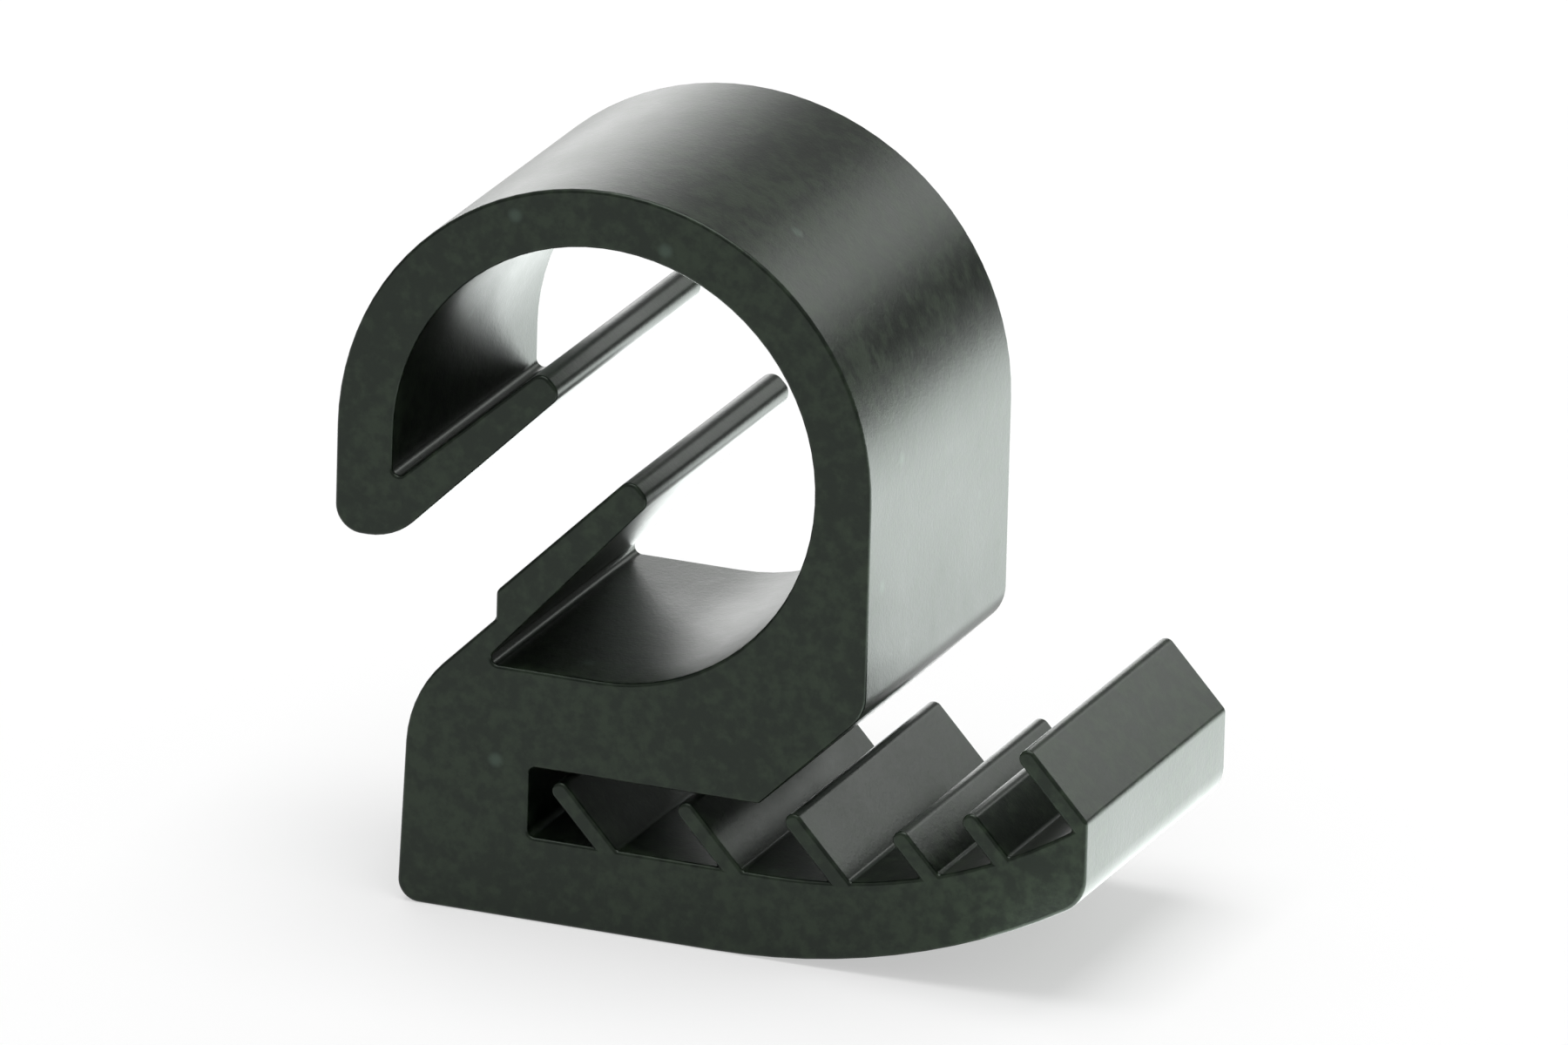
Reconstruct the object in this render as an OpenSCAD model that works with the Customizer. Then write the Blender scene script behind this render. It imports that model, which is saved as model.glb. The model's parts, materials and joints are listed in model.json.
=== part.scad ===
// Panel edge cable clip: a moulded C-shaped ring that is snapped over a wire bundle, on a base
// whose finned slot grips the edge of a sheet. The whole clip is one profile, extruded along Y.
// X points the way the panel slot opens, Z is up, and the ring's axis stands over X = 0.

/* [Ring] */
// Width of the whole clip, along the cable
clip_width = 10; // [6:0.5:16]
// Inside diameter of the cable ring
bore_d = 12; // [10:0.5:16]
// Thickness of the ring's wall
ring_wall = 1.6; // [1.2:0.1:2.2]
// How far the free arm hangs below the ring's axis
arm_drop = 2.95; // [2.4:0.05:3.6]

/* [Entry lips] */
// Slope of the entry channel between the two lips, in degrees
entry_angle = 45; // [42:1:48]
// Clear width of the entry channel
entry_gap = 2.8; // [2:0.1:3.4]
// How far the channel's middle line passes above the ring's axis
entry_offset = 0.7; // [0.4:0.05:1]
// Thickness of each lip at its tip
lip_thick = 0.85; // [0.6:0.05:1.2]
// Angle by which the lips grow thicker towards their roots, in degrees
lip_taper = 3; // [0:0.5:5]
// How far the lips reach past the ring's axis
lip_reach = 0.4; // [-1:0.05:1.2]
// How far the lower lip stands proud of the sloped shoulder
lip_step = 0.55; // [0.3:0.05:0.8]
// Distance from the ring's axis to the foot of the lower lip
lip_foot = 2.95; // [2.4:0.05:3.4]

/* [Base] */
// Solid thickness between the ring's floor and the panel slot
deck_thick = 2.7; // [2.3:0.1:4.5]
// Distance from the ring's axis to the base's left edge, at the bottom
base_left = 5.6; // [5.2:0.1:7]
// Lean of the base's left side, in degrees
base_lean = 2; // [0:0.5:4]
// Size of the sloped lead-in under the ring's right wall
lead_in = 2.95; // [2:0.05:3.6]

/* [Panel slot] */
// Height of the slot that takes the panel
slot_gap = 1.95; // [1.6:0.05:3]
// Distance from the slot's closed end to the ring's axis
slot_past_axis = 1.9; // [1.8:0.1:3]

/* [Jaw] */
// Thickness of the jaw under the slot
jaw_thick = 2.35; // [2:0.05:3.4]
// Distance from the ring's axis to the jaw's free end
jaw_reach = 13.95; // [13.5:0.05:15.5]
// Distance from the ring's axis to where the jaw's upper side starts to rise
jaw_bend = 5; // [3.5:0.25:6]
// Radius of the jaw's rising upper side
jaw_top_r = 15.3; // [13:0.1:24]
// Distance from the ring's axis to where the flat underside ends
flat_end = 3.5; // [3:0.25:5.5]
// Radius of the jaw's rising underside
jaw_under_r = 19.5; // [15:0.5:24]

/* [Fins] */
// Number of gripping fins along the jaw
fin_count = 6; // [3:1:6]
// Thickness of a fin
fin_thick = 0.5; // [0.35:0.05:0.7]
// Lean of the fins towards the slot's closed end, in degrees from upright
fin_lean = 43; // [35:1:48]
// Room left above the tip of a fin that stands on the flat stretch of the jaw
fin_clearance = 0.2; // [0.1:0.05:0.7]
// How much lower the two fins next to the last one are
low_fin_drop = 0.6; // [0:0.05:0.9]
// Distance from the last fin to the fin before it
end_fin_gap = 2.2; // [1.8:0.05:2.4]
// Distance from that fin to the next
fin_pitch = 1.95; // [1.7:0.05:2.1]
// How much each further distance between fins grows towards the slot's closed end
fin_pitch_growth = 0.55; // [0:0.05:0.6]
// Rise of the last fin, which guides the panel in
end_fin_rise = 1.85; // [1.4:0.05:2.4]

/* [Edges] */
// Rounding of the arm's outer corner
arm_round = 0.8; // [0.3:0.05:1]
// Rounding where the arm turns into the upper lip
arm_turn_round = 1.9; // [0.8:0.1:2.4]
// Rounding of the base's shoulder
shoulder_round = 3.5; // [2:0.25:4.5]
// Rounding of the base's lower corner
base_round = 0.6; // [0.3:0.1:1]
// Rounding of the jaw's free end
jaw_round = 1.1; // [0.6:0.1:1.4]
// Rounding of the corner above the lead-in slope
wall_round = 1.2; // [0.4:0.1:2]
// Rounding of the lips' tips
lip_round = 0.35; // [0.15:0.05:0.5]
// Rounding of the other corners
small_round = 0.2; // [0.15:0.05:0.4]

/* [Hidden] */
$fn = 128;

bore_r = bore_d / 2;
ring_r = bore_r + ring_wall;
slot_floor = jaw_thick;
slot_ceiling = slot_floor + slot_gap;
ring_floor = slot_ceiling + deck_thick;
axis_z = ring_floor + bore_r;
arm_bottom = axis_z - arm_drop;
full_fin_rise = slot_gap - fin_clearance;
low_fin_rise = full_fin_rise - low_fin_drop;
low_fins = 2;

// Offsets of the sloped faces from the ring's axis, square to the entry channel
upper_face = entry_offset + entry_gap / 2;
lower_face = entry_offset - entry_gap / 2;
shoulder_face = lower_face - lip_step;

// A rounding takes up less than half of the edge that it shares with another
round_share = 0.45;
tip_round = min(lip_round, round_share * lip_thick);

// How far the cut for a rounding reaches past the corner's sides, and how far its arc does
wedge_over = 0.1;
arc_over = 0.0001;

// Height of a sloped face over a given place, and its place at a given height
function slope_z(x, face) = axis_z + x * tan(entry_angle) + face / cos(entry_angle);
function slope_x(z, face) = (z - axis_z) / tan(entry_angle) - face / sin(entry_angle);

// Corner of a lip's tip at a given offset
function lip_tip(offset) = [
    lip_reach * cos(entry_angle) - offset * sin(entry_angle),
    axis_z + lip_reach * sin(entry_angle) + offset * cos(entry_angle),
    tip_round
];

// Height of the jaw's upper side
function jaw_top(x) =
    let (run = max(x - jaw_bend, 0))
    slot_floor + jaw_top_r - sqrt(jaw_top_r * jaw_top_r - run * run);

// Place and rise of a fin, counted from the jaw's free end
function fin_x(i) = i == 0 ? jaw_reach :
    jaw_reach - end_fin_gap - (i - 1) * fin_pitch - (i - 1) * (i - 2) / 2 * fin_pitch_growth;
function fin_rise(i) = i == 0 ? end_fin_rise : i <= low_fins ? low_fin_rise : full_fin_rise;

// Point of a corner, the unit direction from one corner to another, and which way two directions turn
function point(corner) = [corner[0], corner[1]];
function toward(a, b) = (point(b) - point(a)) / norm(point(b) - point(a));
function turn(a, b) = a[0] * b[1] - a[1] * b[0];

// Flat shape made as thick as the clip is wide
module slab() {
    linear_extrude(clip_width, center = true) children();
}

// What a rounding takes off an outer corner, or fills into an inner one: a kite from the arc's centre to
// just past the corner, less a disc. The disc is a hair too large, so its edge crosses the outline cleanly.
module corner_wedge(kite, radius) {
    centre = kite[0];
    grow = 1 + wedge_over / radius;
    difference() {
        polygon([for (p = kite) centre + grow * (p - centre)]);
        translate(centre) circle(radius + arc_over);
    }
}

// Outline with arcs at its corners. A corner is [x, z] or [x, z, radius], and they run clockwise.
module rounded_outline(corners) {
    count = len(corners);
    all = [0 : count - 1];
    back = [for (i = all) toward(corners[i], corners[(i + count - 1) % count])];
    ahead = [for (i = all) toward(corners[i], corners[(i + 1) % count])];
    radius = [for (c = corners) len(c) == 3 ? c[2] : 0];
    half_angle = [for (i = all) acos(back[i] * ahead[i]) / 2];
    cut = [for (i = all) radius[i] / tan(half_angle[i])];
    kite = [for (i = all) let (corner = point(corners[i])) [
        corner + (back[i] + ahead[i]) * cut[i] / (1 + cos(2 * half_angle[i])),
        corner + back[i] * cut[i],
        corner,
        corner + ahead[i] * cut[i]
    ]];
    rounded = [for (i = all) if (radius[i] > 0) i];
    outer = [for (i = rounded) if (turn(back[i], ahead[i]) > 0) i];
    inner = [for (i = rounded) if (turn(back[i], ahead[i]) < 0) i];
    slab() difference() {
        polygon([for (c = corners) point(c)]);
        for (i = outer) corner_wedge(kite[i], radius[i]);
    }
    for (i = inner) slab() corner_wedge(kite[i], radius[i]);
}

// Ring from the free arm over the top to its floor
module ring() {
    slab() translate([0, axis_z]) difference() {
        circle(ring_r);
        circle(bore_r);
        translate([-2 * ring_r, -2 * ring_r]) square(2 * ring_r);
    }
}

// Free arm, which hangs straight down and turns back into the ring as the upper lip. Its top is a peak
// inside the ring's wall, so the two share more than a face.
module arm() {
    tip = lip_tip(upper_face + lip_thick);
    root_z = tip[1] - (tip[0] + bore_r) * tan(entry_angle - lip_taper);
    turn_x = slope_x(arm_bottom, upper_face);
    room = round_share * (turn_x + ring_r);
    rounded_outline([
        [-ring_r, axis_z],
        [-bore_r - ring_wall / 2, axis_z + ring_wall / 2],
        [-bore_r, axis_z],
        [-bore_r, root_z, small_round],
        tip,
        lip_tip(upper_face),
        [turn_x, arm_bottom, min(arm_turn_round, room / tan(entry_angle / 2))],
        [-ring_r, arm_bottom, min(arm_round, room)]
    ]);
}

// Left side of the base with the shoulder, the lower lip and the closed end of the panel slot
module base() {
    tip = lip_tip(lower_face - lip_thick);
    root_x = tip[0] - (tip[1] - ring_floor) / tan(entry_angle + lip_taper);
    lean = tan(base_lean);
    shoulder_z = (slope_z(0, shoulder_face) - base_left * tan(entry_angle)) / (1 - lean * tan(entry_angle));
    rounded_outline([
        [-base_left, 0, base_round],
        [lean * shoulder_z - base_left, shoulder_z, shoulder_round],
        [-lip_foot, slope_z(-lip_foot, shoulder_face)],
        [-lip_foot, slope_z(-lip_foot, lower_face)],
        lip_tip(lower_face),
        tip,
        [root_x, ring_floor, small_round],
        [ring_wall, ring_floor],
        [ring_wall, slot_ceiling],
        [-slot_past_axis, slot_ceiling, small_round],
        [-slot_past_axis, slot_floor, small_round],
        [ring_wall, slot_floor],
        [ring_wall, 0]
    ]);
}

// Straight right wall of the ring, with the lead-in slope under it
module wall() {
    difference() {
        rounded_outline([
            [0, axis_z],
            [ring_r, axis_z],
            [ring_r, slot_ceiling + lead_in, wall_round],
            [ring_r - lead_in, slot_ceiling, small_round],
            [0, slot_ceiling]
        ]);
        slab() translate([0, axis_z]) circle(bore_r);
    }
}

// Springy lower jaw, which curves up to its rounded free end. Its straight part ends in a peak inside the
// curved part.
module jaw() {
    height = jaw_top(jaw_reach);
    difference() {
        union() {
            slab() polygon([
                [0, 0],
                [flat_end, 0],
                [flat_end + jaw_thick / 2, jaw_thick / 2],
                [flat_end, jaw_thick],
                [flat_end, height],
                [0, height]
            ]);
            slab() intersection() {
                translate([flat_end, jaw_under_r]) circle(jaw_under_r);
                translate([flat_end, 0]) square([jaw_reach - flat_end, height]);
            }
        }
        slab() translate([0, slot_floor]) square([jaw_bend, height]);
        slab() translate([jaw_bend, slot_floor + jaw_top_r]) circle(jaw_top_r);
        jaw_corner();
    }
}

// What the rounding takes off the lower corner of the jaw's free end
module jaw_corner() {
    run = jaw_reach - jaw_round - flat_end;
    inside = jaw_under_r - jaw_round;
    drop = sqrt(inside * inside - run * run);
    size = 2 * jaw_round;
    slab() translate([jaw_reach - jaw_round, jaw_under_r - drop]) difference() {
        polygon([[0, 0], size / inside * [run, -drop], [size, -size], [size, 0]]);
        circle(jaw_round + arc_over);
    }
}

// One fin with a round tip, leaning towards the closed end of the slot
module fin(x, rise) {
    length = rise / cos(fin_lean) - fin_thick / 2;
    translate([x, jaw_top(x)]) rotate(fin_lean) translate([-fin_thick / 2, 0]) {
        slab() translate([-fin_thick / 2, -fin_thick]) square([fin_thick, fin_thick + length]);
        slab() translate([0, length]) circle(fin_thick / 2);
    }
}

// Row of fins, the last of which stands on the jaw's very end
module fins() {
    intersection() {
        union() {
            for (i = [0 : fin_count - 1]) fin(fin_x(i), fin_rise(i));
        }
        slab() translate([-jaw_reach, 0]) square([2 * jaw_reach, axis_z]);
    }
}

module edge_clip() {
    color([0.17, 0.2, 0.18]) rotate([90, 0, 0]) {
        ring();
        arm();
        base();
        wall();
        jaw();
        fins();
    }
}

edge_clip();
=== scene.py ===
"""Looks of a panel edge cable clip: one black nylon moulding, softened at its edges, on a white table.

Lengths whose names end in MM are millimetres. The others are metres, as in Blender.
"""

import json
from math import cos, pi, radians, sin

import bpy
from mathutils import Matrix, Vector

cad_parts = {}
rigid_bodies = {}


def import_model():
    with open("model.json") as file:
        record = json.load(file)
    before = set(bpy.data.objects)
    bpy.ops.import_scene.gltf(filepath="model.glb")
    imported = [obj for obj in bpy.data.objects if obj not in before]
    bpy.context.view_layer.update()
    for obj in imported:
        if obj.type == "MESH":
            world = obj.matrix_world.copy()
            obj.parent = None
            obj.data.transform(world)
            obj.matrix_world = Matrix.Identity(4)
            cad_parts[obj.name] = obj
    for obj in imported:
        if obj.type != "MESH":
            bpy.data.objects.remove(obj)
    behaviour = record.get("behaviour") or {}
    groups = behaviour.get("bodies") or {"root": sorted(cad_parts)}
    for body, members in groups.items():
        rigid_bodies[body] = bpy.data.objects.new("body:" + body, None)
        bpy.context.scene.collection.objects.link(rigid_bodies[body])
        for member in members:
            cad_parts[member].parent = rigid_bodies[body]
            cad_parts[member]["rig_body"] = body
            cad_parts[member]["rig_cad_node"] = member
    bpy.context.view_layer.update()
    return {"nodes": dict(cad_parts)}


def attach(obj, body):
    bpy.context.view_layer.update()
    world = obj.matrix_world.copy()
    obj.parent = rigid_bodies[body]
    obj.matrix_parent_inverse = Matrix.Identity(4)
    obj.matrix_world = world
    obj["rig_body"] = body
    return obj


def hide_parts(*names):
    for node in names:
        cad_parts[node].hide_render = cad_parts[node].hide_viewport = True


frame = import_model()

MM = 0.001
WHITE = (1, 1, 1, 1)

# Camera, as the photograph was taken from well away with a long lens
IMAGE_WIDTH_PX = 1800
PX_PER_MM = 43.46
SENSOR_MM = 36
CAMERA_AZIMUTH = radians(21.77)
CAMERA_ELEVATION = radians(19.24)
CAMERA_ROLL = radians(1.52)
CAMERA_DISTANCE_MM = 800
LOOK_AT_MM = Vector((3.18, 0, 10.37))
CAMERA_NEAR = 0.01
CAMERA_FAR = 10

# Softening of the moulding's edges
MERGE_MM = 0.0005
FLAT_ANGLE = radians(0.5)
SHARP_ANGLE = radians(40)
EDGE_ROUND_MM = 0.10
EDGE_SEGMENTS = 3

# Black nylon: colours in linear light, the sizes of its marks, and how much each mark counts
NYLON_DARK = (0.001, 0.003, 0.001, 1)
NYLON_PALE = (0.013, 0.021, 0.011, 1)
NYLON_GLINT = (0.86, 1, 0.87, 1)
NYLON_IOR = 1.45
MOTTLE_MM = 0.45
CLOUD_MM = 3.5
GRAIN_MM = 0.11
MOTTLE_SHARE = 0.7
CLOUD_SHARE = 0.3
DARK_BELOW = 0.42
PALE_ABOVE = 0.64
LEAST_ROUGHNESS = 0.23
MOTTLE_ROUGHNESS = 0.08
CLOUD_ROUGHNESS = 0.10
GRAIN_RELIEF = 0.7
MOTTLE_RELIEF = 0.6
RELIEF_MM = 0.02
RELIEF_STRENGTH = 0.3

# Specks of dust: one in each cell that draws a high enough chance, with its radii as shares of a cell
SPECK_COLOUR = (0.06, 0.09, 0.07, 1)
SPECK_STRENGTH = 0.6
SPECK_CELL_MM = 2.6
SPECK_RIM = 0.11
SPECK_CORE = 0.03
SPECK_CHANCE = 0.55

# White table, and a room that is dim near the horizon and pale higher up
TABLE_SIZE = 4.0
TABLE_WHITE = (0.93, 0.93, 0.93, 1)
TABLE_GLOW = 0.5
SKY_DIM = 0.04
SKY_PALE = 0.46
SKY_DIM_BELOW = 0.10
SKY_PALE_ABOVE = 0.32

# Glowing sheets that lie on the table
SHEET_TINT = (0.94, 1, 0.98)
SHEET_LIFT_MM = 0.4

# Colour sockets of a Mix node, by number, because its other kinds of socket have the same names
MIX_FACTOR = 0
MIX_FIRST = 6
MIX_SECOND = 7
MIX_RESULT = 2


class Wire:
    """An output of a node, on which shader sums are written as Python expressions."""

    def __init__(self, recipe, socket):
        self.recipe = recipe
        self.socket = socket

    def sum(self, operation, first, second):
        made = self.recipe.node("ShaderNodeMath", {"operation": operation}, {0: first, 1: second})
        return made("Value")

    def __add__(self, other):
        return self.sum("ADD", self, other)

    def __radd__(self, other):
        return self.sum("ADD", other, self)

    def __mul__(self, other):
        return self.sum("MULTIPLY", self, other)

    def __rmul__(self, other):
        return self.sum("MULTIPLY", other, self)

    def __gt__(self, other):
        return self.sum("GREATER_THAN", self, other)


class Recipe:
    """Node tree of a finish, or of the room."""

    def __init__(self, owner):
        owner.use_nodes = True
        self.tree = owner.node_tree
        self.tree.nodes.clear()

    def node(self, kind, settings, inputs):
        """Adds a node, and returns a function that gives its outputs by name or number."""
        made = self.tree.nodes.new(kind)
        for name, value in settings.items():
            setattr(made, name, value)
        for key, value in inputs.items():
            if isinstance(value, Wire):
                self.tree.links.new(value.socket, made.inputs[key])
            else:
                made.inputs[key].default_value = value
        return lambda key: Wire(self, made.outputs[key])

    def mix_colours(self, factor, first, second):
        """Goes from the first colour to the second as the factor goes from 0 to 1."""
        inputs = {MIX_FACTOR: factor, MIX_FIRST: first, MIX_SECOND: second}
        return self.node("ShaderNodeMix", {"data_type": "RGBA"}, inputs)(MIX_RESULT)

    def noise(self, place, size_mm, detail, roughness):
        """Soft random pattern of a given size, from 0 to 1."""
        settings = {"noise_dimensions": "3D"}
        inputs = {"Vector": place, "Scale": 1 / (size_mm * MM), "Detail": detail, "Roughness": roughness}
        return self.node("ShaderNodeTexNoise", settings, inputs)("Fac")

    def ramp(self, value, start, end, low=0.0, high=1.0):
        """Smooth step from low to high while the value goes from start to end."""
        settings = {"interpolation_type": "SMOOTHSTEP"}
        inputs = {"Value": value, "From Min": start, "From Max": end, "To Min": low, "To Max": high}
        return self.node("ShaderNodeMapRange", settings, inputs)("Result")


def dust_specks(recipe, place):
    """Mask of a few small round specks, scattered over loose cells."""
    inputs = {"Vector": place, "Scale": 1 / (SPECK_CELL_MM * MM)}
    cells = recipe.node("ShaderNodeTexVoronoi", {"feature": "F1"}, inputs)
    chance = recipe.node("ShaderNodeSeparateColor", {}, {"Color": cells("Color")})("Red")
    return recipe.ramp(cells("Distance"), SPECK_RIM, SPECK_CORE) * (chance > SPECK_CHANCE)


def black_nylon():
    """Matte moulded nylon: mottled black with a fine grain, uneven gloss and a few pale specks of dust."""
    finish = bpy.data.materials.new("black_nylon")
    recipe = Recipe(finish)
    place = recipe.node("ShaderNodeTexCoord", {}, {})("Object")
    mottle = recipe.noise(place, MOTTLE_MM, detail=4, roughness=0.6)
    clouds = recipe.noise(place, CLOUD_MM, detail=2, roughness=0.5)
    grain = recipe.noise(place, GRAIN_MM, detail=3, roughness=0.65)

    shade = recipe.ramp(mottle * MOTTLE_SHARE + clouds * CLOUD_SHARE, DARK_BELOW, PALE_ABOVE)
    colour = recipe.mix_colours(shade, NYLON_DARK, NYLON_PALE)
    colour = recipe.mix_colours(dust_specks(recipe, place) * SPECK_STRENGTH, colour, SPECK_COLOUR)
    roughness = LEAST_ROUGHNESS + MOTTLE_ROUGHNESS * mottle + CLOUD_ROUGHNESS * clouds
    height = grain * GRAIN_RELIEF + mottle * MOTTLE_RELIEF
    relief = {"Strength": RELIEF_STRENGTH, "Distance": RELIEF_MM * MM, "Height": height}
    surface = recipe.node("ShaderNodeBsdfPrincipled", {}, {
        "Base Color": colour,
        "Roughness": roughness,
        "Normal": recipe.node("ShaderNodeBump", {}, relief)("Normal"),
        "IOR": NYLON_IOR,
        "Specular Tint": NYLON_GLINT,
    })
    recipe.node("ShaderNodeOutputMaterial", {}, {"Surface": surface("BSDF")})
    return finish


def white_table():
    """White paper: it takes the clip's shadow, and looks white in the picture and in reflections."""
    finish = bpy.data.materials.new("white_table")
    recipe = Recipe(finish)
    path = recipe.node("ShaderNodeLightPath", {}, {})
    seen = path("Is Camera Ray") + path("Is Glossy Ray") + path("Is Transmission Ray")
    paper = recipe.node("ShaderNodeBsdfDiffuse", {}, {"Color": TABLE_WHITE})("BSDF")
    glow = recipe.node("ShaderNodeEmission", {}, {"Color": WHITE, "Strength": 1})("Emission")
    both = recipe.node("ShaderNodeMixShader", {}, {0: seen * TABLE_GLOW, 1: paper, 2: glow})("Shader")
    recipe.node("ShaderNodeOutputMaterial", {}, {"Surface": both})
    return finish


def soften_clip():
    """Copies the CAD clip, merges its triangles into plain faces and rounds its sharp edges a little."""
    bpy.ops.object.select_all(action="DESELECT")
    node = frame["nodes"]["edge_clip"]
    node.select_set(True)
    bpy.context.view_layer.objects.active = node
    bpy.ops.object.duplicate()
    clip = bpy.context.view_layer.objects.active
    clip.name = "moulded_clip"
    clip.data.name = "moulded_clip"
    # The copy is a piece of its own, so it drops the labels of a CAD node
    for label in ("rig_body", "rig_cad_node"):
        del clip[label]
    clip.parent = None

    bpy.ops.object.mode_set(mode="EDIT")
    bpy.ops.mesh.select_all(action="SELECT")
    bpy.ops.mesh.customdata_custom_splitnormals_clear()
    bpy.ops.mesh.remove_doubles(threshold=MERGE_MM * MM)
    bpy.ops.mesh.dissolve_limited(angle_limit=FLAT_ANGLE)
    bpy.ops.object.mode_set(mode="OBJECT")

    # Smooth first, so that the rounded edges keep the flat faces flat
    bpy.ops.object.shade_smooth()
    bpy.ops.object.modifier_add(type="BEVEL")
    bevel = clip.modifiers[-1]
    bevel.width = EDGE_ROUND_MM * MM
    bevel.segments = EDGE_SEGMENTS
    bevel.limit_method = "ANGLE"
    bevel.angle_limit = SHARP_ANGLE
    bevel.use_clamp_overlap = False
    bevel.harden_normals = True
    bpy.ops.object.modifier_apply(modifier=bevel.name)
    return clip


def lay_table():
    """Wide white table under the clip, which isn't part of it."""
    bpy.ops.object.select_all(action="DESELECT")
    bpy.ops.mesh.primitive_plane_add(size=TABLE_SIZE)
    table = bpy.context.view_layer.objects.active
    table.name = "table"
    table.data.materials.append(white_table())


def hang_softbox(name, place_mm, aim_mm, size_mm, brightness, tint=(1, 1, 1)):
    """Soft lamp that faces a given point. A brightness of 1 looks white in a mirror."""
    bpy.ops.object.light_add(type="AREA")
    lamp = bpy.context.view_layer.objects.active
    lamp.name = name
    lamp.location = Vector(place_mm) * MM
    lamp.rotation_euler = (Vector(aim_mm) - Vector(place_mm)).to_track_quat("-Z", "Y").to_euler()
    lamp.visible_camera = False
    lamp.data.shape = "RECTANGLE"
    lamp.data.color = tint
    lamp.data.size = size_mm[0] * MM
    lamp.data.size_y = size_mm[1] * MM
    lamp.data.energy = brightness * pi * lamp.data.size * lamp.data.size_y


def lay_glow_sheet(name, left_mm, right_mm, near_mm, far_mm, brightness):
    """Glowing sheet, face up on the table between given edges, for the clip's sides to mirror."""
    middle = Vector(((left_mm + right_mm) / 2, (near_mm + far_mm) / 2, SHEET_LIFT_MM))
    above = middle + Vector((0, 0, 1))
    size = (right_mm - left_mm, far_mm - near_mm)
    hang_softbox(name, middle, above, size, brightness, SHEET_TINT)


def light_room():
    """Dim pale room with a soft lamp overhead, two behind, and glowing sheets laid on the table."""
    room = bpy.data.worlds.new("room")
    bpy.context.scene.world = room
    recipe = Recipe(room)
    direction = recipe.node("ShaderNodeTexCoord", {}, {})("Generated")
    height = recipe.node("ShaderNodeSeparateXYZ", {}, {"Vector": direction})("Z")
    sky = recipe.ramp(height, SKY_DIM_BELOW, SKY_PALE_ABOVE, SKY_DIM, SKY_PALE)
    light = recipe.node("ShaderNodeBackground", {}, {"Color": WHITE, "Strength": sky})
    recipe.node("ShaderNodeOutputWorld", {}, {"Surface": light("Background")})

    hang_softbox("overhead", (0, 0, 500), aim_mm=(0, 0, 0), size_mm=(420, 420), brightness=3.3)
    hang_softbox("left_window", (-148, 257, 60), aim_mm=(0, 0, 60), size_mm=(170, 116), brightness=2.8)
    hang_softbox("right_window", (100, 262, 125), aim_mm=(0, 0, 10), size_mm=(130, 82), brightness=2.0)
    lay_glow_sheet("right_glow_sheet", 11, 120, near_mm=-10, far_mm=100, brightness=3.0)
    lay_glow_sheet("middle_glow_sheet", 3, 11, near_mm=26, far_mm=150, brightness=2.7)
    lay_glow_sheet("back_glow_sheet", -20, 3, near_mm=8, far_mm=148, brightness=2.7)


def place_camera():
    """Long lens at the photograph's angle, at a scale that gives the clip its size in the picture."""
    back = Vector((
        sin(CAMERA_AZIMUTH) * cos(CAMERA_ELEVATION),
        -cos(CAMERA_AZIMUTH) * cos(CAMERA_ELEVATION),
        sin(CAMERA_ELEVATION),
    ))
    right = Vector((cos(CAMERA_AZIMUTH), sin(CAMERA_AZIMUTH), 0))
    up = back.cross(right)
    turned_right = right * cos(CAMERA_ROLL) + up * sin(CAMERA_ROLL)
    turned_up = up * cos(CAMERA_ROLL) - right * sin(CAMERA_ROLL)
    bpy.ops.object.camera_add()
    camera = bpy.context.view_layer.objects.active
    pose = Matrix((turned_right, turned_up, back)).transposed().to_4x4()
    pose.translation = (LOOK_AT_MM + back * CAMERA_DISTANCE_MM) * MM
    camera.matrix_world = pose
    camera.data.sensor_width = SENSOR_MM
    camera.data.lens = PX_PER_MM * CAMERA_DISTANCE_MM * SENSOR_MM / IMAGE_WIDTH_PX
    camera.data.clip_start = CAMERA_NEAR
    camera.data.clip_end = CAMERA_FAR
    bpy.context.scene.camera = camera


bpy.context.scene.view_settings.view_transform = "Standard"
clip = soften_clip()
clip.data.materials.clear()
clip.data.materials.append(black_nylon())
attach(clip, "root")
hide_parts("edge_clip")
lay_table()
light_room()
place_camera()

bpy.context.view_layer.update()
